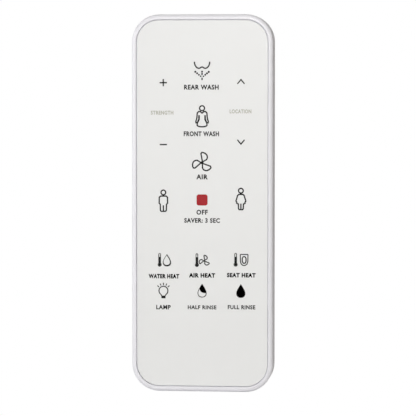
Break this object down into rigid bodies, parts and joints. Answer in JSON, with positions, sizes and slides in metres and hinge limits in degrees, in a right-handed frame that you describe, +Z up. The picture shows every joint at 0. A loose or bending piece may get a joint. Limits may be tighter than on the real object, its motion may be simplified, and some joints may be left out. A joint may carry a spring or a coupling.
{
  "type": "bidet seat remote control",
  "caption": "Slim white upright remote handset with rounded corners, a thin raised rim and a flat panel of printed pictogram keys.",
  "frame": {"origin": "centre of the bounding box's bottom, on the surface that the handset's bottom end stands on", "axes": "+Z up along the handset's length, -Y out of the printed front, +X to the right when facing the front"},
  "size_m": [0.06, 0.014, 0.16],
  "materials": {
    "case_white": "satin injection-moulded ABS",
    "panel_film": "smooth satin printed polyester film",
    "ink_dark": "flat screen print",
    "ink_red": "flat screen print",
    "key_plastic": "moulded ABS",
    "screw_steel": "zinc-plated steel",
    "board_green": "glass-epoxy laminate with solder mask",
    "spacer_film": "milky polyester",
    "dome_steel": "sprung stainless steel",
    "chip_black": "moulded epoxy",
    "shield_tin": "tinned steel",
    "copper": "copper track",
    "ceramic": "fired ceramic",
    "nickel": "nickel-plated spring steel",
    "lead_red": "soft PVC insulation",
    "lead_black": "soft PVC insulation",
    "cell_jacket": "printed shrink sleeve on a steel can"
  },
  "bodies": {
    "case": {"front_housing": "case_white", "printed_overlay": "panel_film", "printed_icons": "ink_dark", "stop_mark": "ink_red", "rear_housing": "case_white", "case_screws": "screw_steel", "main_board": "board_green", "dome_sheet": "spacer_film", "snap_domes": "dome_steel", "board_screws": "screw_steel", "microcontroller": "chip_black", "radio_module": "shield_tin", "antenna": "copper", "crystal": "shield_tin", "capacitors": "ceramic", "resistors": "chip_black", "positive_contact": "nickel", "negative_contact": "nickel", "bridge_contact": "nickel", "red_lead": "lead_red", "black_lead": "lead_black", "battery_upper": "cell_jacket", "battery_lower": "cell_jacket"},
    "door": {"battery_door": "case_white"},
    "pressure_up_button": {"pressure_up_key": "key_plastic"},
    "pressure_down_button": {"pressure_down_key": "key_plastic"},
    "position_up_button": {"position_up_key": "key_plastic"},
    "position_down_button": {"position_down_key": "key_plastic"},
    "rear_wash_button": {"rear_wash_key": "key_plastic"},
    "front_wash_button": {"front_wash_key": "key_plastic"},
    "dry_button": {"dry_key": "key_plastic"},
    "stop_button": {"stop_key": "key_plastic"},
    "user_one_button": {"user_one_key": "key_plastic"},
    "user_two_button": {"user_two_key": "key_plastic"},
    "water_temp_button": {"water_temp_key": "key_plastic"},
    "dryer_temp_button": {"dryer_temp_key": "key_plastic"},
    "seat_temp_button": {"seat_temp_key": "key_plastic"},
    "light_button": {"light_key": "key_plastic"},
    "half_flush_button": {"half_flush_key": "key_plastic"},
    "full_flush_button": {"full_flush_key": "key_plastic"}
  },
  "joints": [
    {"name": "pressure_up_press", "type": "slide", "parent": "case", "child": "pressure_up_button", "axis": [0, 1, 0], "range_m": [0, 0.00035], "stiffness_N_per_m": 2000, "springref_m": -0.0003, "deforming": ["snap_domes"]},
    {"name": "pressure_down_press", "type": "slide", "parent": "case", "child": "pressure_down_button", "axis": [0, 1, 0], "range_m": [0, 0.00035], "stiffness_N_per_m": 2000, "springref_m": -0.0003, "deforming": ["snap_domes"]},
    {"name": "position_up_press", "type": "slide", "parent": "case", "child": "position_up_button", "axis": [0, 1, 0], "range_m": [0, 0.00035], "stiffness_N_per_m": 2000, "springref_m": -0.0003, "deforming": ["snap_domes"]},
    {"name": "position_down_press", "type": "slide", "parent": "case", "child": "position_down_button", "axis": [0, 1, 0], "range_m": [0, 0.00035], "stiffness_N_per_m": 2000, "springref_m": -0.0003, "deforming": ["snap_domes"]},
    {"name": "rear_wash_press", "type": "slide", "parent": "case", "child": "rear_wash_button", "axis": [0, 1, 0], "range_m": [0, 0.00035], "stiffness_N_per_m": 2000, "springref_m": -0.0003, "deforming": ["snap_domes"]},
    {"name": "front_wash_press", "type": "slide", "parent": "case", "child": "front_wash_button", "axis": [0, 1, 0], "range_m": [0, 0.00035], "stiffness_N_per_m": 2000, "springref_m": -0.0003, "deforming": ["snap_domes"]},
    {"name": "dry_press", "type": "slide", "parent": "case", "child": "dry_button", "axis": [0, 1, 0], "range_m": [0, 0.00035], "stiffness_N_per_m": 2000, "springref_m": -0.0003, "deforming": ["snap_domes"]},
    {"name": "stop_press", "type": "slide", "parent": "case", "child": "stop_button", "axis": [0, 1, 0], "range_m": [0, 0.00035], "stiffness_N_per_m": 2000, "springref_m": -0.0003, "deforming": ["snap_domes"]},
    {"name": "user_one_press", "type": "slide", "parent": "case", "child": "user_one_button", "axis": [0, 1, 0], "range_m": [0, 0.00035], "stiffness_N_per_m": 2000, "springref_m": -0.0003, "deforming": ["snap_domes"]},
    {"name": "user_two_press", "type": "slide", "parent": "case", "child": "user_two_button", "axis": [0, 1, 0], "range_m": [0, 0.00035], "stiffness_N_per_m": 2000, "springref_m": -0.0003, "deforming": ["snap_domes"]},
    {"name": "water_temp_press", "type": "slide", "parent": "case", "child": "water_temp_button", "axis": [0, 1, 0], "range_m": [0, 0.00035], "stiffness_N_per_m": 2000, "springref_m": -0.0003, "deforming": ["snap_domes"]},
    {"name": "dryer_temp_press", "type": "slide", "parent": "case", "child": "dryer_temp_button", "axis": [0, 1, 0], "range_m": [0, 0.00035], "stiffness_N_per_m": 2000, "springref_m": -0.0003, "deforming": ["snap_domes"]},
    {"name": "seat_temp_press", "type": "slide", "parent": "case", "child": "seat_temp_button", "axis": [0, 1, 0], "range_m": [0, 0.00035], "stiffness_N_per_m": 2000, "springref_m": -0.0003, "deforming": ["snap_domes"]},
    {"name": "light_press", "type": "slide", "parent": "case", "child": "light_button", "axis": [0, 1, 0], "range_m": [0, 0.00035], "stiffness_N_per_m": 2000, "springref_m": -0.0003, "deforming": ["snap_domes"]},
    {"name": "half_flush_press", "type": "slide", "parent": "case", "child": "half_flush_button", "axis": [0, 1, 0], "range_m": [0, 0.00035], "stiffness_N_per_m": 2000, "springref_m": -0.0003, "deforming": ["snap_domes"]},
    {"name": "full_flush_press", "type": "slide", "parent": "case", "child": "full_flush_button", "axis": [0, 1, 0], "range_m": [0, 0.00035], "stiffness_N_per_m": 2000, "springref_m": -0.0003, "deforming": ["snap_domes"]},
    {"name": "door_swing", "type": "hinge", "parent": "case", "child": "door", "pos_m": [0, 0.00575, 0.0046], "axis": [-1, 0, 0], "range_deg": [0, 80]}
  ]
}
